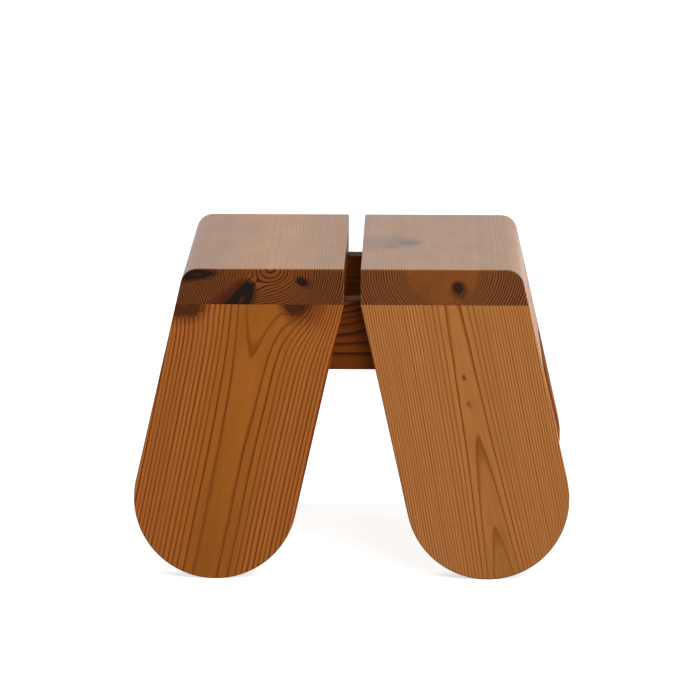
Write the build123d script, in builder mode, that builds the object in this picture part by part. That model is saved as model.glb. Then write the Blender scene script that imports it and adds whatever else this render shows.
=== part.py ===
from build123d import *
import os
from math import cos, radians, sin, tan

# Low footstool of solid pine. Two seat boards lie side by side with a finger gap between
# them, on four splayed board legs with fully rounded feet, two cross rails and two side
# rails. Millimetres. +X is the user's right, -Y the front, +Z up, and the origin is on
# the floor under the middle of the stool.

# Driving dimensions
seat_height = 316.0
stool_depth = 460.0
finger_gap = 17.0
seat_thickness = 36.0
leg_thickness = 36.0
leg_width = 165.0
leg_splay = 12.7
rail_height = 71.0
cross_rail_thickness = 36.0
side_rail_thickness = 36.0
seat_corner_radius = 18.0
eased_edge = 1.0

# Dowels, which show nowhere once the stool is glued up
dowel_diameter = 10.0
leg_dowel_length = 50.0
leg_dowel_in_seat = 22.0
leg_dowel_shares = (-0.28, 0.28)
side_dowel_length = 44.0
side_dowel_in_leg = 20.0
side_dowel_shares = (0.3, 0.72)
dowel_fit = 0.1
dowel_end_room = 1.0

# Wood screws: countersunk ones join a cross rail to the legs, pan heads hold the seat
screw_diameter = 5.0
screw_length = 60.0
screw_tip_length = 6.0
screw_fit = 0.15
screw_end_room = 1.0
countersunk_head_diameter = 10.0
countersink_angle = 90.0
pan_head_diameter = 9.5
pan_head_height = 3.2
counterbore_diameter = 12.0
counterbore_depth = 35.0
rail_screw_height_share = 0.35
rail_screw_shares = (0.15, 0.85)
seat_screw_shares = (0.5,)

# Worked out from the driving dimensions
slant = tan(radians(leg_splay))
normal_x = cos(radians(leg_splay))
normal_z = sin(radians(leg_splay))
seat_underside = seat_height - seat_thickness
gap_half = finger_gap / 2
leg_cut_width = leg_width / normal_x
seat_outer_x = gap_half + leg_cut_width
leg_top_x = gap_half + leg_cut_width / 2
foot_radius = leg_width / 2
foot_x = leg_top_x + (seat_underside - foot_radius) * slant
rail_underside = seat_underside - rail_height
side_rail_cut_width = side_rail_thickness / normal_x
side_rail_inner_x = seat_outer_x - side_rail_cut_width
depth_half = stool_depth / 2
leg_inner_y = depth_half - leg_thickness
leg_middle_y = depth_half - leg_thickness / 2
cross_rail_inner_y = leg_inner_y - cross_rail_thickness
cross_rail_middle_y = leg_inner_y - cross_rail_thickness / 2
dowel_radius = dowel_diameter / 2
dowel_hole_radius = dowel_radius + dowel_fit
leg_dowel_in_leg = leg_dowel_length - leg_dowel_in_seat
side_dowel_in_rail = side_dowel_length - side_dowel_in_leg
screw_radius = screw_diameter / 2
screw_hole_radius = screw_radius + screw_fit
rail_screw_in_leg = screw_length - cross_rail_thickness
seat_screw_in_seat = screw_length - (rail_height - counterbore_depth)

sides = (("left", -1), ("right", 1))
ends = (("front", -1), ("rear", 1))

os.makedirs("parts", exist_ok=True)


def save(piece, name):
    piece.part.label = name
    export_step(piece.part, f"parts/{name}.step")


def leaning_x(top_x, z):
    """Where a line that starts at top_x under the seat and leans out with the legs is at height z."""
    return top_x + (seat_underside - z) * slant


def leg_dowel_places(side, end):
    """On the joint between a leg and its seat board, +Z up."""
    return [
        Location((side * (leg_top_x + share * leg_cut_width), end * leg_middle_y, seat_underside))
        for share in leg_dowel_shares
    ]


def side_dowel_places(side, end):
    """On the joint between a side rail and a leg, with Z pointing from the rail into the leg."""
    places = []
    for share in side_dowel_shares:
        z = seat_underside - share * rail_height
        x = leaning_x(seat_outer_x - side_rail_cut_width / 2, z)
        places.append(Location((side * x, end * leg_inner_y, z), (-end * 90, 0, 0)))
    return places


def rail_screw_places(side, end):
    """On the inner face of a cross rail, with Z pointing from the rail into the leg."""
    z = rail_underside + rail_screw_height_share * rail_height
    run_start = leaning_x(gap_half, z)
    run = leaning_x(side_rail_inner_x, z) - run_start
    return [
        Location(
            (side * (run_start + share * run), end * cross_rail_inner_y, z),
            (-end * 90, 0, 0),
        )
        for share in rail_screw_shares
    ]


def seat_screw_places(side, end):
    """On the underside of a cross rail, +Z up into the seat board."""
    run = side_rail_inner_x - gap_half
    return [
        Location((side * (gap_half + share * run), end * cross_rail_middle_y, rail_underside))
        for share in seat_screw_shares
    ]


def drill_from(places, distance=0):
    """Turns places along their Z by distance and round, so that a hole there runs along +Z."""
    return [place * Location((0, 0, distance), (180, 0, 0)) for place in places]


# Dowel: a beech peg standing across a joint, its length split between the two pieces
def make_dowel(length, below_joint):
    with BuildPart() as dowel:
        with BuildSketch(Plane.XY.offset(-below_joint)):
            Circle(dowel_radius)
        extrude(amount=length)
    return dowel.part


leg_dowel = make_dowel(leg_dowel_length, leg_dowel_in_leg)
side_dowel = make_dowel(side_dowel_length, side_dowel_in_rail)

# Countersunk screw: its head's flat top is at the origin and its point is up
with BuildPart() as countersunk_screw:
    head_radius = countersunk_head_diameter / 2
    cone_height = (head_radius - screw_radius) / tan(radians(countersink_angle / 2))
    with BuildSketch(Plane.XZ):
        with BuildLine():
            Polyline(
                (0, 0),
                (head_radius, 0),
                (screw_radius, cone_height),
                (screw_radius, screw_length - screw_tip_length),
                (0, screw_length),
                close=True,
            )
        make_face()
    revolve(axis=Axis.Z)

# Pan head screw: the underside of its head is at the origin and its point is up
with BuildPart() as pan_head_screw:
    head_radius = pan_head_diameter / 2
    with BuildSketch(Plane.XZ):
        with BuildLine():
            Polyline(
                (0, -pan_head_height),
                (head_radius, -pan_head_height),
                (head_radius, 0),
                (screw_radius, 0),
                (screw_radius, screw_length - screw_tip_length),
                (0, screw_length),
                close=True,
            )
        make_face()
    revolve(axis=Axis.Z)


# Seat board: its outer side leans in line with the legs below and rounds over at the top
def make_seat_board(side):
    with BuildPart() as board:
        with BuildSketch(Plane.XZ.offset(depth_half)):
            with BuildLine():
                Polyline(
                    (side * gap_half, seat_underside),
                    (side * seat_outer_x, seat_underside),
                    (side * leaning_x(seat_outer_x, seat_height), seat_height),
                    (side * gap_half, seat_height),
                    close=True,
                )
            make_face()
        extrude(amount=-stool_depth)
        top_edges = board.edges().filter_by(Axis.Y).group_by(Axis.Z)[-1]
        fillet(top_edges.sort_by(Axis((0, 0, 0), (side, 0, 0)))[-1], seat_corner_radius)
        # Every edge but those of the underside is eased, so that the legs meet it flush
        underside = board.faces().sort_by(Axis.Z)[0].edges()
        eased = board.faces().filter_by(Axis.Y).edges() - underside
        gap_top = board.edges().filter_by(Axis.Y).group_by(Axis.Z)[-1]
        chamfer(eased + gap_top.sort_by(Axis((0, 0, 0), (-side, 0, 0)))[-1:], eased_edge)
        for _, end in ends:
            with Locations(*drill_from(leg_dowel_places(side, end))):
                Hole(dowel_hole_radius, leg_dowel_in_seat + dowel_end_room)
            with Locations(*drill_from(seat_screw_places(side, end), rail_height)):
                Hole(screw_hole_radius, seat_screw_in_seat + screw_end_room)
    return board


# Leg: a board with level top, splayed sides and a half round foot as wide as itself
def make_leg(side, end):
    flank_x = foot_radius * normal_x
    flank_z = foot_radius * normal_z
    with BuildPart() as leg:
        with BuildSketch(Plane.XZ.offset(-end * depth_half)):
            with BuildLine():
                Polyline(
                    (side * (foot_x - flank_x), foot_radius - flank_z),
                    (side * gap_half, seat_underside),
                    (side * seat_outer_x, seat_underside),
                    (side * (foot_x + flank_x), foot_radius + flank_z),
                )
                ThreePointArc(
                    (side * (foot_x + flank_x), foot_radius + flank_z),
                    (side * foot_x, 0),
                    (side * (foot_x - flank_x), foot_radius - flank_z),
                )
            make_face()
        extrude(amount=end * leg_thickness)
        top = leg.faces().sort_by(Axis.Z)[-1].edges()
        chamfer(leg.faces().filter_by(Axis.Y).edges() - top, eased_edge)
        with Locations(*leg_dowel_places(side, end)):
            Hole(dowel_hole_radius, leg_dowel_in_leg + dowel_end_room)
        with Locations(*drill_from(side_dowel_places(side, end))):
            Hole(dowel_hole_radius, side_dowel_in_leg + dowel_end_room)
        with Locations(*drill_from(rail_screw_places(side, end), cross_rail_thickness)):
            Hole(screw_hole_radius, rail_screw_in_leg + screw_end_room)
    return leg


# Side rail: fills the outer side between two legs, leaning flush with their outer edges
def make_side_rail(side):
    with BuildPart() as rail:
        with BuildSketch(Plane.XZ.offset(leg_inner_y)):
            with BuildLine():
                Polyline(
                    (side * side_rail_inner_x, seat_underside),
                    (side * seat_outer_x, seat_underside),
                    (side * leaning_x(seat_outer_x, rail_underside), rail_underside),
                    (side * leaning_x(side_rail_inner_x, rail_underside), rail_underside),
                    close=True,
                )
            make_face()
        extrude(amount=-2 * leg_inner_y)
        chamfer(rail.edges().filter_by(Axis.Y).group_by(Axis.Z)[0], eased_edge)
        for _, end in ends:
            with Locations(*side_dowel_places(side, end)):
                Hole(dowel_hole_radius, side_dowel_in_rail + dowel_end_room)
    return rail


# Cross rail: joins both pairs of legs behind their faces and carries the two seat boards
def make_cross_rail(end):
    with BuildPart() as rail:
        with BuildSketch(Plane.XZ.offset(-end * leg_inner_y)):
            with BuildLine():
                Polyline(
                    (-side_rail_inner_x, seat_underside),
                    (side_rail_inner_x, seat_underside),
                    (leaning_x(side_rail_inner_x, rail_underside), rail_underside),
                    (-leaning_x(side_rail_inner_x, rail_underside), rail_underside),
                    close=True,
                )
            make_face()
        extrude(amount=end * cross_rail_thickness)
        chamfer(rail.edges().filter_by(Axis.X).group_by(Axis.Z)[0], eased_edge)
        for _, side in sides:
            with Locations(*drill_from(rail_screw_places(side, end))):
                CounterSinkHole(
                    screw_hole_radius,
                    countersunk_head_diameter / 2 + screw_fit,
                    counter_sink_angle=countersink_angle,
                )
            with Locations(*drill_from(seat_screw_places(side, end))):
                CounterBoreHole(screw_hole_radius, counterbore_diameter / 2, counterbore_depth)
    return rail


# Group of like fasteners: one copy stands on each place, pushed along it by distance
def make_group(fastener, places, distance=0):
    with BuildPart() as group:
        with Locations(*[place * Location((0, 0, distance)) for place in places]):
            add(fastener)
    return group


for side_name, side in sides:
    save(make_seat_board(side), f"top_board_{side_name}")
    save(make_side_rail(side), f"side_rail_{side_name}")
    dowels = side_dowel_places(side, -1) + side_dowel_places(side, 1)
    save(make_group(side_dowel, dowels), f"side_rail_dowels_{side_name}")
    for end_name, end in ends:
        save(make_leg(side, end), f"leg_{end_name}_{side_name}")
        dowels = leg_dowel_places(side, end)
        save(make_group(leg_dowel, dowels), f"leg_dowels_{end_name}_{side_name}")

for end_name, end in ends:
    save(make_cross_rail(end), f"cross_rail_{end_name}")
    screws = rail_screw_places(-1, end) + rail_screw_places(1, end)
    save(make_group(countersunk_screw.part, screws), f"cross_rail_screws_{end_name}")
    screws = seat_screw_places(-1, end) + seat_screw_places(1, end)
    group = make_group(pan_head_screw.part, screws, counterbore_depth)
    save(group, f"seat_screws_{end_name}")
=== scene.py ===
# A low pine footstool: two seat boards on four splayed board legs with half round feet, tied
# together by rails. Metres: +X is the right of the photograph, -Y its front, +Z up.
from math import cos, pi, radians, sin

import bmesh
import bpy
import numpy as np
from mathutils import Matrix, Vector


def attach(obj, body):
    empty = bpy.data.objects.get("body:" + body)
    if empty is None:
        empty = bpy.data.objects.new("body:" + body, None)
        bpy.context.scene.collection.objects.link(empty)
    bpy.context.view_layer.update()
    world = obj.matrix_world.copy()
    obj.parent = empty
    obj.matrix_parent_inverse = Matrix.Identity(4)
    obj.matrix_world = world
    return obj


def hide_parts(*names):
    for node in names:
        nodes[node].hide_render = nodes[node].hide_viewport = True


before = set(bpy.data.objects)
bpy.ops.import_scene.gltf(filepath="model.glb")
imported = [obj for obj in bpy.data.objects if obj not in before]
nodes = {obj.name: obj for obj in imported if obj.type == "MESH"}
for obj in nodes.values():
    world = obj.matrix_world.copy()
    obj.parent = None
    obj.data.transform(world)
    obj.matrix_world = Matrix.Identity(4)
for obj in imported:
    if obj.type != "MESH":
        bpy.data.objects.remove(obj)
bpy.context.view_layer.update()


# Legs: four 36 mm boards of planed pine, 165 mm wide, leaning outwards and rounded to a half
# circle at the foot. Flat sawn near the pith, so the grain runs as straight lines beside a plain
# middle band, and clear satin lacquer has yellowed to orange over the years.
def linear(hex_colour):
    """The linear colour of an sRGB hex value.

    A channel c becomes c / 12.92 up to 0.04045, and ((c + 0.055) / 1.055) ^ 2.4 above.
    """
    channels = [int(hex_colour[i : i + 2], 16) / 255 for i in (0, 2, 4)]
    return (*[((c + 0.055) / 1.055) ** 2.4 if c > 0.04045 else c / 12.92 for c in channels], 1.0)


def add_node(material, kind, links=None, **settings):
    """Adds a shader node whose properties are the settings.

    links gives each of its sockets a value, the output of another node, or another node, which
    stands for the first output that it has in use.
    """
    node = material.node_tree.nodes.new("ShaderNode" + kind)
    for key, value in settings.items():
        setattr(node, key, value)
    for socket, value in (links or {}).items():
        if isinstance(value, bpy.types.Node):
            value = next(output for output in value.outputs if output.enabled)
        if isinstance(value, bpy.types.NodeSocket):
            material.node_tree.links.new(value, node.inputs[socket])
        else:
            node.inputs[socket].default_value = value
    return node


def pith_line(board, along, pith, lean, swerve, wander):
    """The stem's middle at each height z: pith + lean * z + swerve * e ^ (z / swerve[2])."""
    start = (pith[0] + wander / 2, pith[1] + wander / 2, 0)
    line = add_node(board, "VectorMath", {0: along, 1: (*lean, 0), 2: start}, operation="MULTIPLY_ADD")
    curl = add_node(board, "Math", {0: along, 1: swerve[2]}, operation="DIVIDE")
    curl = add_node(board, "Math", {0: curl}, operation="EXPONENT")
    sideways = (*swerve[:2], 0)
    return add_node(board, "VectorMath", {0: curl, 1: sideways, 2: line}, operation="MULTIPLY_ADD")


def beside_branch(board, stem, start, direction, rise):
    """How far a point lies sideways, upwards and backwards from a branch, in mm.

    The branch goes outwards from its start at an angle round the stem and climbs rise mm for each
    mm. Upwards counts 0.6, because a knot is long along the grain, and backwards is 0 past the start.
    """
    from_start = add_node(board, "VectorMath", {0: stem, 1: start}, operation="SUBTRACT")
    rotation = (0, 0, -radians(direction))
    turned = add_node(board, "Mapping", {"Vector": from_start, "Rotation": rotation})
    out = add_node(board, "SeparateXYZ", {0: turned})
    outwards, sideways, height = (out.outputs[axis] for axis in "XYZ")
    above = add_node(board, "Math", {0: outwards, 1: -rise, 2: height}, operation="MULTIPLY_ADD")
    above = add_node(board, "Math", {0: above, 1: 0.6}, operation="MULTIPLY")
    behind = add_node(board, "Math", {0: outwards, 1: -1.0}, operation="MULTIPLY")
    behind = add_node(board, "Math", {0: behind, 1: 0.0}, operation="MAXIMUM")
    return add_node(board, "CombineXYZ", {0: sideways, 1: above, 2: behind})


def stem_bulge(board, beside, spread, aside):
    """A bell curve round a branch, e ^ -((distance - aside) / width) ^ 2, from 0 to 1."""
    width, height, depth = 5 + 45 * spread, 5 + 75 * spread, 10
    share = (1 / width, 1 / height, 1 / depth)
    shift = (-aside / width, 0, 0)
    near = add_node(board, "VectorMath", {0: beside, 1: share, 2: shift}, operation="MULTIPLY_ADD")
    near = add_node(board, "VectorMath", {0: near, 1: near}, operation="DOT_PRODUCT")
    near = add_node(board, "Math", {0: near, 1: -1.0}, operation="MULTIPLY")
    return add_node(board, "Math", {0: near}, operation="EXPONENT")


def branch_rings(board, beside, away, ripple, ragged, rings, spread):
    """A branch's own ring number, and the distance from its middle as a share of its radius.

    The number is the stem's squeezed by spread: (distance / (rings[0] * spread)) ^ rings[1]. The
    branch is a cone, so its radius is spread times the distance from the stem's pith.
    """
    off_axis = add_node(board, "VectorMath", {0: beside}, operation="LENGTH")
    off_axis = add_node(board, "Math", {0: ripple, 1: 6 * spread, 2: off_axis}, operation="MULTIPLY_ADD")
    off_axis = add_node(board, "Math", {0: off_axis, 1: 3 * spread}, operation="SUBTRACT")
    off_axis = add_node(board, "Math", {0: off_axis, 1: 0.0}, operation="MAXIMUM")
    number = add_node(board, "Math", {0: off_axis, 1: rings[0] * spread}, operation="DIVIDE")
    number = add_node(board, "Math", {0: number, 1: rings[1]}, operation="POWER")
    radius = add_node(board, "Math", {0: away, 1: spread}, operation="MULTIPLY")
    reach = add_node(board, "Math", {0: off_axis, 1: radius}, operation="DIVIDE")
    reach = add_node(board, "Math", {0: ragged, 1: 0.5, 2: reach}, operation="MULTIPLY_ADD")
    reach = add_node(board, "Math", {0: reach, 1: 0.25}, operation="SUBTRACT")
    return number, reach


def branch_colour(board, reach, darkness, soak):
    """How dark a knot makes a point, and how much of the resin round the knot it holds.

    A knot is dark inside its radius but for its own small pith, with the fine rings of a branch.
    Resin thins out from there to soak times the radius.
    """
    sockets = {"Value": reach, "From Min": 0.78, "From Max": 1.12, "To Min": darkness, "To Max": 0.0}
    inside = add_node(board, "MapRange", sockets, interpolation_type="SMOOTHSTEP")
    sockets = {"Value": reach, "From Min": 0.1, "From Max": 0.28, "To Min": 1.2 - 0.6 * darkness}
    core = add_node(board, "MapRange", sockets, interpolation_type="SMOOTHSTEP")
    fine = add_node(board, "Math", {0: reach, 1: 30.0}, operation="MULTIPLY")
    fine = add_node(board, "Math", {0: fine}, operation="SINE")
    fine = add_node(board, "Math", {0: fine, 1: 0.15, 2: 0.85}, operation="MULTIPLY_ADD")
    dark = add_node(board, "Math", {0: inside, 1: core}, operation="MULTIPLY")
    dark = add_node(board, "Math", {0: dark, 1: fine}, operation="MULTIPLY")
    sockets = {"Value": reach, "From Min": 0.9, "From Max": soak, "To Min": darkness, "To Max": 0.0}
    sticky = add_node(board, "MapRange", sockets, interpolation_type="SMOOTHSTEP")
    return dark, sticky


# How far from the pith the heartwood ends and the sapwood begins, in mm
heartwood, sapwood = 28, 55


def ring_bands(board, number, away, uneven, young, summer):
    """How much of the dark summer wood a point has, from 0 to 1.

    A ring goes slowly from pale spring wood to dark summer wood and stops short in winter. Summer
    wood is a larger part of the narrow rings far out than of the wide ones near the pith, and it
    is darker there, and in some years.
    """
    part = add_node(board, "Math", {0: number}, operation="FRACT")
    sockets = {"Value": away, "From Min": 25, "From Max": 60, "To Min": summer[0], "To Max": summer[1]}
    opens = add_node(board, "MapRange", sockets)
    sockets = {"Value": part, "From Min": opens, "From Max": 0.93}
    warm = add_node(board, "MapRange", sockets, interpolation_type="SMOOTHSTEP")
    sockets = {"Value": part, "From Min": 0.95, "From Max": 1.0, "To Min": 1.0, "To Max": 0.0}
    winter = add_node(board, "MapRange", sockets)
    year = add_node(board, "Math", {0: number}, operation="FLOOR")
    vigour = add_node(board, "TexWhiteNoise", {"W": year}, noise_dimensions="1D")
    vigour = add_node(board, "MapRange", {"Value": vigour, "To Min": 0.6, "To Max": 1.0})
    sockets = {"Value": uneven, "From Min": young * 0.92, "From Max": young + 0.01, "To Min": 0.12}
    grown = add_node(board, "MapRange", sockets)
    sockets = {"Value": away, "From Min": heartwood, "From Max": sapwood, "To Min": 0.78}
    ripe = add_node(board, "MapRange", sockets)
    band = add_node(board, "Math", {0: warm, 1: winter}, operation="MULTIPLY")
    for strength in (vigour, grown, ripe):
        band = add_node(board, "Math", {0: band, 1: strength}, operation="MULTIPLY")
    return band


def pine(
    name, turn, place, pith, lean, rings, pale, late, soaked="999999", knots=(), bark="4a1c06",
    resin="b09484", swerve=(0, 0, 100), wander=3, young=0, summer=(0.76, 0.3), sap=(0.42, 0.64),
    face=1.0, gloss=(0.3, 0.45), seed=0,
):
    """Lacquered pine, solid through the board, so that its faces, edges and ends agree.

    turn and place take the object to the board: x across its face, y into the wood, z along the
    grain, in mm. The pith lies at pith + lean * z + swerve * e ^ (z / swerve[2]), and wander is
    how far it strays from there. A point's ring number is (distance from the pith / rings[0])
    ^ rings[1], and rings nearer than young are faint. pale and late colour spring and summer wood,
    soaked darkens sawn ends, face is how strong the rings are on faces, and gloss the least and
    most roughness. Near the pith and far out, summer is the part of a year at which summer wood
    begins, and sap is how bright the wood is. seed gives each board other noise.
    A knot is a branch: a cone outwards from its start beside the pith, in a direction round the
    stem, climbing rise mm and widening spread mm for each mm. It has the colour bark, as much as
    its darkness says, and resin round it as far as soak times its radius. The stem bulges round it
    by bulge mm, with the middle of the bulge aside of it. Its rings are the stem's squeezed by
    spread, and the smooth minimum of both ring numbers lets the grain flow round each knot.
    """
    board = bpy.data.materials.new(name)
    board.use_nodes = True
    where = add_node(board, "TexCoord")
    millimetres = {"Vector": where.outputs["Object"], "Scale": (1000, 1000, 1000)}
    local = add_node(board, "Mapping", {**millimetres, "Location": place, "Rotation": turn})
    along = add_node(board, "SeparateXYZ", {0: local}).outputs["Z"]

    # The stem isn't straight: it swerves, and wanders by some millimetres over a hand's length
    elsewhere = (seed * 7.3, seed * 3.1, seed * 5.7)
    sockets = {"Vector": local, "Location": elsewhere, "Scale": (0.008, 0.008, 0.005)}
    slow = add_node(board, "Mapping", sockets)
    drift = add_node(board, "TexNoise", {"Vector": slow, "Scale": 1, "Detail": 1})
    sockets = {0: drift.outputs["Color"], 1: (wander, wander, 0), 2: local}
    bent = add_node(board, "VectorMath", sockets, operation="MULTIPLY_ADD")
    middle = pith_line(board, along, pith, lean, swerve, wander)
    stem = add_node(board, "VectorMath", {0: bent, 1: middle}, operation="SUBTRACT")
    away = add_node(board, "VectorMath", {0: stem, 1: (1, 1, 0)}, operation="MULTIPLY")
    away = add_node(board, "VectorMath", {0: away}, operation="LENGTH")

    # Rings waver by a millimetre or two, and some years' growth is wider than others'
    sockets = {"Vector": local, "Location": (seed, 0, 0), "Scale": (0.035, 0.035, 0.012)}
    ripple = add_node(board, "Mapping", sockets)
    ripple = add_node(board, "TexNoise", {"Vector": ripple, "Scale": 1, "Detail": 1.5})
    sockets = {"Vector": local, "Location": (0, seed, 0), "Scale": (0.22, 0.22, 0.06)}
    ragged = add_node(board, "Mapping", sockets)
    ragged = add_node(board, "TexNoise", {"Vector": ragged, "Scale": 1, "Detail": 2})
    growth = add_node(board, "Math", {0: away, 1: 0.09, 2: seed * 1.7}, operation="MULTIPLY_ADD")
    sockets = {"W": growth, "Scale": 1, "Detail": 0}
    growth = add_node(board, "TexNoise", sockets, noise_dimensions="1D")
    sizes = (0.4 + 0.4 * wander, 0.8 + 0.6 * wander, 0.1 * wander**2)
    uneven = away
    for noise, size in zip((ripple, growth, ragged), sizes):
        uneven = add_node(board, "Math", {0: noise, 1: size, 2: uneven}, operation="MULTIPLY_ADD")
    uneven = add_node(board, "Math", {0: uneven, 1: sum(sizes) / 2}, operation="SUBTRACT")

    # The stem's rings, then each knot's joined to them
    branches = []
    for knot in knots:
        beside = beside_branch(board, stem, knot["start"], knot["direction"], knot["rise"])
        bulge = stem_bulge(board, beside, knot["spread"], knot.get("aside", 0))
        sockets = {0: bulge, 1: -knot["bulge"], 2: uneven}
        uneven = add_node(board, "Math", sockets, operation="MULTIPLY_ADD")
        branches.append((beside, knot["spread"], knot["darkness"], knot.get("soak", 1.9)))
    uneven = add_node(board, "Math", {0: uneven, 1: 0.01}, operation="MAXIMUM")
    number = add_node(board, "Math", {0: uneven, 1: rings[0]}, operation="DIVIDE")
    number = add_node(board, "Math", {0: number, 1: rings[1]}, operation="POWER")
    knotty, stained = 0.0, 0.0
    for beside, spread, darkness, soak in branches:
        own, reach = branch_rings(board, beside, away, ripple, ragged, rings, spread)
        number = add_node(board, "Math", {0: number, 1: own, 2: 5.0}, operation="SMOOTH_MIN")
        dark, sticky = branch_colour(board, reach, darkness, soak)
        knotty = add_node(board, "Math", {0: knotty, 1: dark}, operation="MAXIMUM")
        stained = add_node(board, "Math", {0: stained, 1: sticky}, operation="MAXIMUM")

    # Summer wood is clearer in some streaks of the board than in others, each about 25 mm wide
    band = ring_bands(board, number, away, uneven, young, summer)
    sockets = {"Vector": bent, "Location": (0, seed, seed), "Scale": (0.04, 0.04, 0.006)}
    tone = add_node(board, "Mapping", sockets)
    tone = add_node(board, "TexNoise", {"Vector": tone, "Scale": 1, "Detail": 1})
    sockets = {"Value": tone, "From Min": 0.3, "From Max": 0.7, "To Min": 0.65, "To Max": 1.3}
    clear = add_node(board, "MapRange", sockets)
    band = add_node(board, "Math", {0: band, 1: clear}, operation="MULTIPLY")

    # Fibres are 0.04 mm wide, drawn as 1 mm bundles 30 mm long so that they show
    fibre = add_node(board, "Mapping", {"Vector": bent, "Scale": (1.0, 1.0, 0.033)})
    fibre = add_node(board, "TexNoise", {"Vector": fibre, "Scale": 1, "Detail": 2})

    # A face shows its rings fainter than a sawn end, whose open pores drink the lacquer and darken,
    # and faintest where it cuts the first rings round the pith at a low angle
    sockets = {"Vector": where.outputs["Normal"], "Rotation": turn}
    normal = add_node(board, "Mapping", sockets, vector_type="NORMAL")
    end = add_node(board, "SeparateXYZ", {0: normal}).outputs["Z"]
    end = add_node(board, "Math", {0: end}, operation="ABSOLUTE")
    sockets = {"Value": end, "From Min": 0.45, "From Max": 0.95}
    end = add_node(board, "MapRange", sockets, interpolation_type="SMOOTHSTEP")
    sockets = {"Value": away, "From Min": 8, "From Max": 32, "To Min": 0.35 * face, "To Max": face}
    flat = add_node(board, "MapRange", sockets)
    shown = add_node(board, "MapRange", {"Value": end, "To Min": flat, "To Max": 1.0})
    shown = add_node(board, "Math", {0: shown, 1: band}, operation="MULTIPLY")

    # Sapwood far from the pith differs in brightness from the heartwood round it, and is greyer
    outwards = {"Value": away, "From Min": heartwood, "From Max": sapwood}
    light = add_node(board, "MapRange", {**outwards, "To Min": sap[0], "To Max": sap[1]})
    light = add_node(board, "Math", {0: fibre, 1: 0.36, 2: light}, operation="MULTIPLY_ADD")
    light = add_node(board, "Math", {0: tone, 1: 0.46, 2: light}, operation="MULTIPLY_ADD")
    strong = add_node(board, "MapRange", {**outwards, "To Min": 1.025, "To Max": 1.0})
    sockets = {"Factor": shown, "A": linear(pale), "B": linear(late)}
    colour = add_node(board, "Mix", sockets, data_type="RGBA")
    sockets = {"Color": colour, "Value": light, "Saturation": strong}
    colour = add_node(board, "HueSaturation", sockets)
    sockets = {"Factor": stained, "A": colour, "B": linear(resin)}
    colour = add_node(board, "Mix", sockets, data_type="RGBA", blend_type="MULTIPLY")
    sockets = {"Factor": knotty, "A": colour, "B": linear(bark)}
    colour = add_node(board, "Mix", sockets, data_type="RGBA")
    sockets = {"Factor": end, "A": colour, "B": linear(soaked)}
    colour = add_node(board, "Mix", sockets, data_type="RGBA", blend_type="MULTIPLY")
    crisp = add_node(board, "Math", {0: end, 1: band}, operation="MULTIPLY")
    crisp = add_node(board, "Math", {0: crisp, 1: 1.35}, operation="MULTIPLY", use_clamp=True)
    sockets = {"Factor": crisp, "A": colour, "B": linear("2a0e02")}
    colour = add_node(board, "Mix", sockets, data_type="RGBA")

    # Summer wood and fibres stand out by less than a tenth of a millimetre. Satin lacquer shines
    # softly at low angles, and an IOR under its usual 1.5 leaves the faces their deep colour
    relief = add_node(board, "Math", {0: fibre, 1: 0.6, 2: band}, operation="MULTIPLY_ADD")
    bump = add_node(board, "Bump", {"Height": relief, "Strength": 0.35, "Distance": 0.00008})
    sheen = add_node(board, "MapRange", {"Value": ripple, "To Min": gloss[0], "To Max": gloss[1]})
    surface = board.node_tree.nodes["Principled BSDF"]
    links = board.node_tree.links
    links.new(colour.outputs["Result"], surface.inputs["Base Color"])
    links.new(sheen.outputs[0], surface.inputs["Roughness"])
    links.new(bump.outputs[0], surface.inputs["Normal"])
    surface.inputs["IOR"].default_value = 1.17
    return board


def finish(material, *names):
    """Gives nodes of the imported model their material."""
    for name in names:
        slots = nodes[name].data.materials
        slots.clear()
        slots.append(material)


splay = radians(12.7)
# In the frame that leans with a leg: its middle, its outer face and its top, in mm
leg_x, leg_y, leg_z = 152.3, 230, 252.7
leg_left = pine(
    "lacquered_pine_leg_front_left",
    turn=(0, -splay, 0),
    place=(leg_x, leg_y, -leg_z),
    pith=(2, 32.5),
    lean=(-0.018, 0),
    rings=(8.46, 1.26),
    pale="a76228",
    late="6a2600",
    knots=(
        dict(start=(0, 0, -1), direction=-38, rise=0.3, spread=0.22, darkness=0.86, bulge=17, aside=9),
        dict(start=(0, 0, -25), direction=-160.4, rise=0.1, spread=0.1, darkness=0.8, bulge=4),
    ),
    bark="260c02",
    swerve=(0, -7.0, 55),
    wander=1.5,
    young=29.5,
    seed=1,
)
leg_right = pine(
    "lacquered_pine_leg_front_right",
    turn=(0, splay, 0),
    place=(-leg_x, leg_y, -leg_z),
    pith=(7.3, 38.9),
    lean=(0.028, 0),
    rings=(2.4, 1.0),
    pale="b2743e",
    late="7c3a08",
    knots=(
        dict(start=(-2, 0, -76), direction=-90, rise=0.0, spread=0.042, darkness=0.5, bulge=0.7),
        dict(start=(-3, 0, -103), direction=-90, rise=0.0, spread=0.035, darkness=0.35, bulge=0.5),
    ),
    swerve=(0, -1.35, -168),
    wander=0.6,
    young=34,
    seed=2,
)
leg_rear_left = pine(
    "lacquered_pine_leg_rear_left",
    turn=(0, -splay, 0),
    place=(leg_x, -leg_y, -leg_z),
    pith=(-12, -10),
    lean=(0.02, 0.03),
    rings=(5, 1.1),
    pale="ac6e38",
    late="70320c",
    knots=(dict(start=(0, 0, -150), direction=62, rise=0.2, spread=0.16, darkness=0.9, bulge=6),),
    seed=3,
)
leg_rear_right = pine(
    "lacquered_pine_leg_rear_right",
    turn=(0, splay, 0),
    place=(-leg_x, -leg_y, -leg_z),
    pith=(9, -16),
    lean=(-0.03, -0.02),
    rings=(6, 1.15),
    pale="a86634",
    late="6c2e0c",
    knots=(dict(start=(0, 0, -60), direction=125, rise=0.2, spread=0.14, darkness=0.9, bulge=5),),
    seed=4,
)
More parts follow.
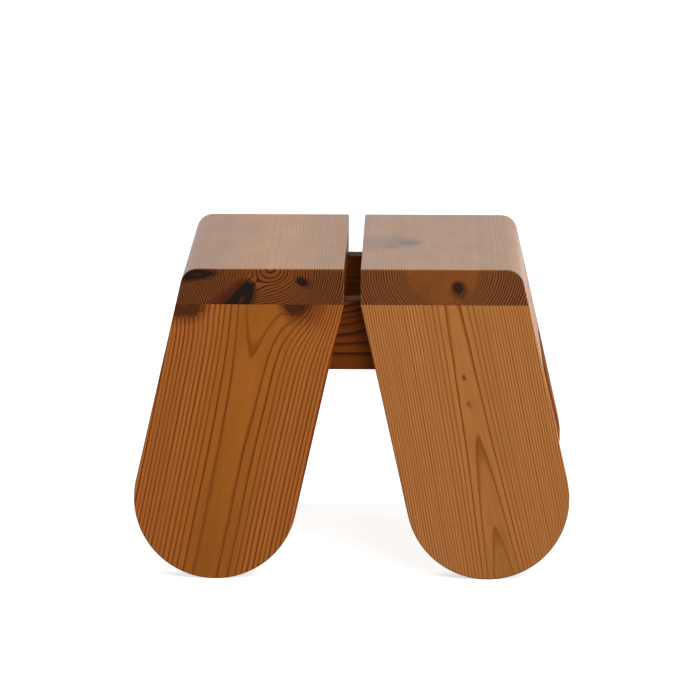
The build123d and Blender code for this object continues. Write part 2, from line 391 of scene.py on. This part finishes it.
finish(leg_left, "leg_front_left")
finish(leg_right, "leg_front_right")
finish(leg_rear_left, "leg_rear_left")
finish(leg_rear_right, "leg_rear_right")


# Cross rails: two 71 mm pine boards screwed to the inner faces of the legs, under the seat.
# Painted shade: much darker than the other boards, for the shade they lie in under the seat and
# between the legs, darker still on the rear rail. Grain from side to side. In mm, their middle's
# height, and how far out their outer and inner faces are:
rail_middle, rail_outer, rail_inner = 244, 194, 158
rail_front = pine(
    "lacquered_pine_cross_rail_front",
    turn=(0, -pi / 2, 0),
    place=(rail_middle, rail_outer, 0),
    pith=(37.5, 44.5),
    lean=(-0.06, 0.03),
    rings=(5.4, 1.0),
    # pale and late are darkened far below the legs' colours: painted shade
    pale="743a08",
    late="2e0c00",
    knots=(dict(start=(0, 0, 46), direction=-143.6, rise=0.0, spread=0.22, darkness=0.7, bulge=12),),
    bark="260c02",
    wander=1.5,
    gloss=(0.5, 0.7),
    seed=5,
)
rail_rear = pine(
    "lacquered_pine_cross_rail_rear",
    turn=(0, -pi / 2, 0),
    place=(rail_middle, -rail_inner, 0),
    pith=(20, 30),
    lean=(0.05, 0.03),
    rings=(5, 1.1),
    # pale and late are darker still: painted shade for the deeper shade behind the front rail
    pale="6a3408",
    late="3c1a08",
    gloss=(0.5, 0.7),
    seed=6,
)
finish(rail_front, "cross_rail_front")
finish(rail_rear, "cross_rail_rear")


# Side rails: two 71 mm pine boards between the front and rear legs, leaning with them, doweled
# into the legs' inner faces and lying flush with their outer edges.
side_left = pine(
    "lacquered_pine_side_rail_left",
    turn=(pi / 2, 0, pi / 2 + splay),
    place=(0, 0, 0),
    pith=(-240, 190),
    lean=(0.01, 0.02),
    rings=(4, 1.0),
    pale="b07238",
    late="76360c",
    seed=7,
)
side_right = pine(
    "lacquered_pine_side_rail_right",
    turn=(pi / 2, 0, pi / 2 - splay),
    place=(0, 0, 0),
    pith=(-240, -190),
    lean=(0.02, 0.01),
    rings=(4, 1.0),
    pale="b4783c",
    late="76360c",
    seed=8,
)
finish(side_left, "side_rail_left")
finish(side_right, "side_rail_right")


# Seat boards: two 36 mm pine boards with a finger gap between them, their outer top edges
# rounded, doweled to the leg tops. Their pith lies in the top face, so the ends show half rings.
# In mm, the height of that face, and how far the pith is from the stool's middle:
seat_top, left_pith, right_pith = 316, 83, 91
seat_left = pine(
    "lacquered_pine_seat_left",
    turn=(pi / 2, 0, 0),
    place=(left_pith, seat_top, 0),
    pith=(0.3, -0.5),
    lean=(0, 0),
    rings=(6, 1.3),
    pale="b4783a",
    late="6a2e06",
    soaked="b89c8a",
    knots=(
        dict(start=(-22, 19, -235), direction=119, rise=0.25, spread=0.24, darkness=1.5, bulge=13),
        dict(start=(0, 0, -264), direction=23, rise=1.0, spread=0.1, darkness=1.3, bulge=3),
        dict(start=(0, 0, -259), direction=175, rise=0.4, spread=0.06, darkness=1.4, bulge=4),
    ),
    bark="140604",
    resin="bca494",
    wander=4,
    young=4,
    summer=(0.45, 0.3),
    sap=(0.52, 0.42),
    face=0.7,
    gloss=(0.29, 0.34),
    seed=9,
)
seat_right = pine(
    "lacquered_pine_seat_right",
    turn=(pi / 2, 0, 0),
    place=(-right_pith, seat_top, 0),
    pith=(-0.5, -2),
    lean=(0, 0),
    rings=(2.6, 1.0),
    pale="b27840",
    late="744010",
    soaked="c6ac9c",
    knots=(
        dict(start=(0, 0, -264), direction=52, rise=1.4, spread=0.2, darkness=1.6, bulge=5),
        dict(
            start=(-31, 50, -14), direction=-90, rise=0.0, spread=0.33, darkness=0.85, bulge=15, soak=3.2
        ),
        dict(start=(-52, 50, -47), direction=-90, rise=0.0, spread=0.18, darkness=0.35, bulge=4),
    ),
    bark="40200e",
    resin="b8b6b8",
    wander=1.5,
    young=38,
    sap=(0.38, 0.47),
    face=0.8,
    gloss=(0.27, 0.33),
    seed=10,
)
finish(seat_left, "top_board_left")
finish(seat_right, "top_board_right")


# Dowels: plain beech pegs glued blind into the joints between legs, side rails and seat.
# Left raw, so pale, dry and matt, with the short brown flecks of beech.
beech = bpy.data.materials.new("raw_beech")
beech.use_nodes = True
where = add_node(beech, "TexCoord")
# Flecks 0.5 mm wide and 2.5 mm long, and growth rings 3 mm apart
fleck = add_node(beech, "Mapping", {"Vector": where.outputs["Object"], "Scale": (2000, 2000, 400)})
fleck = add_node(beech, "TexVoronoi", {"Vector": fleck, "Scale": 1})
sockets = {"Value": fleck, "From Min": 0.12, "From Max": 0.3, "To Min": 0.55, "To Max": 0.0}
fleck = add_node(beech, "MapRange", sockets)
tone = add_node(beech, "Mapping", {"Vector": where.outputs["Object"], "Scale": (330, 330, 30)})
tone = add_node(beech, "TexNoise", {"Vector": tone, "Scale": 1, "Detail": 3})
sockets = {"Factor": tone, "A": linear("e0c196"), "B": linear("c79c6c")}
tone = add_node(beech, "Mix", sockets, data_type="RGBA")
tone = add_node(beech, "Mix", {"Factor": fleck, "A": tone, "B": linear("8f6038")}, data_type="RGBA")
raw = beech.node_tree.nodes["Principled BSDF"]
beech.node_tree.links.new(tone.outputs["Result"], raw.inputs["Base Color"])
raw.inputs["Roughness"].default_value = 0.75
for end in ("front", "rear"):
    finish(beech, f"leg_dowels_{end}_left", f"leg_dowels_{end}_right")
finish(beech, "side_rail_dowels_left", "side_rail_dowels_right")


# Screws: zinc plated steel wood screws, 5 x 60 mm, with a cross recess and a thread over the
# lower 37 mm. Countersunk ones go through a cross rail into each leg, and pan heads stand in
# counterbores under the cross rails and pull the seat boards down.
def wood_screw(head_radius, head_height, cone_height, turned):
    """Points (rings, turns, 3) and faces of one screw, in mm, its point towards +Z.

    Its outline runs from the middle of the head over rim and neck to the point. The recess is two
    crossed bars pressed into the head. The thread is a ridge at (height / pitch - turn), where
    the distance from the axis is core + (crest - core) * ridge.
    """
    shank, crest, core, pitch, length = 1.9, 2.5, 1.6, 2.6, 60.0
    thread_start, thread_run_in, point = 23, 3, 6
    turns, face_rings, body_rings = 36, 26, 330
    over = np.linspace(0, 1, face_rings)
    rim, neck = np.linspace(0, 1, 4)[1:], np.linspace(0, 1, 8)[1:]
    down = np.linspace(cone_height, length, body_rings)[1:]
    # A pan head is domed and has a rim, and a countersunk one is flat and has none
    dome = 0.28 * head_height
    top_radius, top_z = over * head_radius, -head_height + dome * over**4
    rim_radius, rim_z = np.full_like(rim, head_radius), -(head_height - dome) * (1 - rim)
    neck_radius, neck_z = head_radius + (shank - head_radius) * neck, cone_height * neck
    radius = np.concatenate([top_radius, rim_radius, neck_radius, np.full_like(down, shank)])
    z = np.concatenate([top_z, rim_z, neck_z, down])
    angle = np.arange(turns) * 2 * pi / turns

    ring_radius = np.repeat(radius[:, None], turns, 1)
    wave = np.mod(down[:, None] / pitch - angle[None, :] / (2 * pi), 1)
    ridge = np.clip(1 - np.abs(wave - 0.5) * 5, 0, 1)
    thread = core + (crest - core) * ridge
    threaded = np.clip((down - thread_start) / thread_run_in, 0, 1)[:, None]
    taper = np.clip((length - down) / point, 0, 1)[:, None]
    ring_radius[-len(down) :] = (shank * (1 - threaded) + thread * threaded) * taper
    height = np.repeat(z[:, None], turns, 1)
    points = np.stack([ring_radius * np.cos(angle), ring_radius * np.sin(angle), height], 2)

    # Half a bar's width and length, and its depth, which lessens towards the ends
    half_width, half_length, depth = 0.75, 2.7, 2.3
    face = points[:face_rings]
    u = face[:, :, 0] * cos(turned) + face[:, :, 1] * sin(turned)
    v = face[:, :, 1] * cos(turned) - face[:, :, 0] * sin(turned)
    along, wide = np.maximum(np.abs(u), np.abs(v)), np.minimum(np.abs(u), np.abs(v))
    bar = np.clip((half_width - wide) / 0.25, 0, 1) * np.clip((half_length - along) / 0.4, 0, 1)
    face[:, :, 2] += bar * (depth - 0.45 * along)

    ring, step = np.meshgrid(np.arange(len(radius) - 1), np.arange(turns), indexing="ij")
    here, beyond, following = ring * turns, (ring + 1) * turns, (step + 1) % turns
    quads = np.stack([here + step, here + following, beyond + following, beyond + step], 2)
    return points.reshape(-1, 3), quads.reshape(-1, 4)


zinc = bpy.data.materials.new("zinc_plated_steel")
zinc.use_nodes = True
where = add_node(zinc, "TexCoord")
# Zinc plating is a bright, slightly warm grey with duller patches 2 to 4 mm across
patch = add_node(zinc, "Mapping", {"Vector": where.outputs["Object"], "Scale": (350, 350, 350)})
patch = add_node(zinc, "TexNoise", {"Vector": patch, "Scale": 1, "Detail": 4})
sockets = {"Factor": patch, "A": linear("cfcbbb"), "B": linear("a8a596")}
plating = add_node(zinc, "Mix", sockets, data_type="RGBA")
dull = add_node(zinc, "MapRange", {"Value": patch, "To Min": 0.28, "To Max": 0.5})
steel = zinc.node_tree.nodes["Principled BSDF"]
zinc.node_tree.links.new(plating.outputs["Result"], steel.inputs["Base Color"])
zinc.node_tree.links.new(dull.outputs[0], steel.inputs["Roughness"])
steel.inputs["Metallic"].default_value = 1

millimetre = 0.001
# Where the heads sit, in mm, and each kind of head: radius, height, and depth of the neck
rail_screw_x, rail_screw_y, rail_screw_z = (38.74, 131.3), 158, 233.85
seat_screw_x, seat_screw_y, seat_screw_z = (74.62,), 176, 244
countersunk, pan = (5.0, 0.0, 3.1), (4.75, 3.2, 0.6)
for end, front in (("front", -1), ("rear", 1)):
    for name, across_x, y, z, head in (
        (f"cross_rail_screws_{end}", rail_screw_x, rail_screw_y, rail_screw_z, countersunk),
        (f"seat_screws_{end}", seat_screw_x, seat_screw_y, seat_screw_z, pan),
    ):
        all_points, all_faces, made = [], [], 0
        for number, x in enumerate([side * x for side in (-1, 1) for x in across_x]):
            # Each recess came to rest at its own angle. Rail screws point outwards, seat screws up
            points, quads = wood_screw(*head, turned=0.5 + 1.1 * number)
            if head is countersunk:
                points = np.stack([points[:, 0], front * points[:, 2], -front * points[:, 1]], 1)
            all_points.append((points + (x, front * y, z)) * millimetre)
            all_faces.append(quads + made)
            made += len(points)
        mesh = bpy.data.meshes.new(f"{name}_threaded")
        mesh.from_pydata(np.concatenate(all_points).tolist(), [], np.concatenate(all_faces).tolist())
        # The middle of the head and the point are one vertex each
        joined = bmesh.new()
        joined.from_mesh(mesh)
        bmesh.ops.remove_doubles(joined, verts=joined.verts, dist=1e-6)
        joined.to_mesh(mesh)
        joined.free()
        mesh.shade_smooth()
        mesh.set_sharp_from_angle(angle=radians(35))
        mesh.materials.append(zinc)
        screws = bpy.data.objects.new(f"{name}_threaded", mesh)
        bpy.context.scene.collection.objects.link(screws)
        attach(screws, "root")
        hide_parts(name)


# Studio: a plain white floor and surround, a soft lamp above and in front, and a weaker one at the
# right that brightens the stool's right side.
world = bpy.data.worlds.new("white_surround")
bpy.context.scene.world = world
world.use_nodes = True
background = world.node_tree.nodes["Background"]
background.inputs["Color"].default_value = (1, 1, 1, 1)
# Pure white as the camera, gloss and glass see it, and weaker as a light
path = add_node(world, "LightPath")
camera_ray, glossy_ray = path.outputs["Is Camera Ray"], path.outputs["Is Glossy Ray"]
seen = add_node(world, "Math", {0: camera_ray, 1: glossy_ray}, operation="MAXIMUM")
sockets = {0: seen, 1: path.outputs["Is Transmission Ray"]}
seen = add_node(world, "Math", sockets, operation="MAXIMUM")
level = add_node(world, "MapRange", {"Value": seen, "To Min": 0.55, "To Max": 1.0})
world.node_tree.links.new(level.outputs[0], background.inputs["Strength"])

# The floor reaches 20 m to every side, past the edges of the view
far = 20
corners = [(-far, -far, 0), (far, -far, 0), (far, far, 0), (-far, far, 0)]
floor_mesh = bpy.data.meshes.new("floor")
floor_mesh.from_pydata(corners, [], [(0, 1, 2, 3)])
floor = bpy.data.objects.new("floor", floor_mesh)
bpy.context.scene.collection.objects.link(floor)
# Matt paper: white as it is seen, and grey as it throws light back on the stool's underside
paper = bpy.data.materials.new("white_paper")
paper.use_nodes = True
path = add_node(paper, "LightPath")
camera_ray, glossy_ray = path.outputs["Is Camera Ray"], path.outputs["Is Glossy Ray"]
seen = add_node(paper, "Math", {0: camera_ray, 1: glossy_ray}, operation="MAXIMUM")
sockets = {"Factor": seen, "A": (0.45, 0.45, 0.45, 1), "B": (1, 1, 1, 1)}
white = add_node(paper, "Mix", sockets, data_type="RGBA")
glow = add_node(paper, "Math", {0: seen, 1: 0.65}, operation="MULTIPLY")
matt = paper.node_tree.nodes["Principled BSDF"]
paper.node_tree.links.new(white.outputs["Result"], matt.inputs["Base Color"])
paper.node_tree.links.new(glow.outputs[0], matt.inputs["Emission Strength"])
matt.inputs["Emission Color"].default_value = (1, 1, 1, 1)
matt.inputs["Roughness"].default_value = 1
matt.inputs["Specular IOR Level"].default_value = 0
floor_mesh.materials.append(paper)

# Square lamps aimed at the floor under the stool: place and width in metres, power in watts
for name, place, wide, watts in (
    ("lamp_front", (0.9, -2.9, 1.8), 1.6, 54),
    ("lamp_right", (2.6, 0.2, 0.7), 0.9, 21),
):
    lamp_data = bpy.data.lights.new(name, "AREA")
    lamp_data.shape = "SQUARE"
    lamp_data.size = wide
    lamp_data.energy = watts
    lamp = bpy.data.objects.new(name, lamp_data)
    bpy.context.scene.collection.objects.link(lamp)
    aim = Vector(place).to_track_quat("Z", "Y").to_matrix().to_4x4()
    lamp.matrix_world = Matrix.Translation(place) @ aim


# Camera: a long lens in front of the stool, a little to its right, looking down 8 degrees.
# Its place, lens and angles were fitted to the stool's corners and edges in the photograph.
camera_data = bpy.data.cameras.new("camera")
camera_data.sensor_width = 36
camera_data.lens = 309.9
camera_data.clip_end = 50
camera = bpy.data.objects.new("camera", camera_data)
bpy.context.scene.collection.objects.link(camera)
pitch, yaw, roll = radians(8.207), radians(-0.648), radians(0.172)
forward = Vector((sin(yaw) * cos(pitch), cos(yaw) * cos(pitch), -sin(pitch)))
across = Vector((cos(yaw), -sin(yaw), 0))
up = across.cross(forward)
across = across * cos(roll) + up * sin(roll)
up = across.cross(forward)
turn = Matrix((across, up, -forward)).transposed()
place = (0.0658, -6.2321, 1.0999)
camera.matrix_world = Matrix.Translation(place) @ turn.to_4x4()
bpy.context.scene.camera = camera
bpy.context.scene.view_settings.view_transform = "Standard"
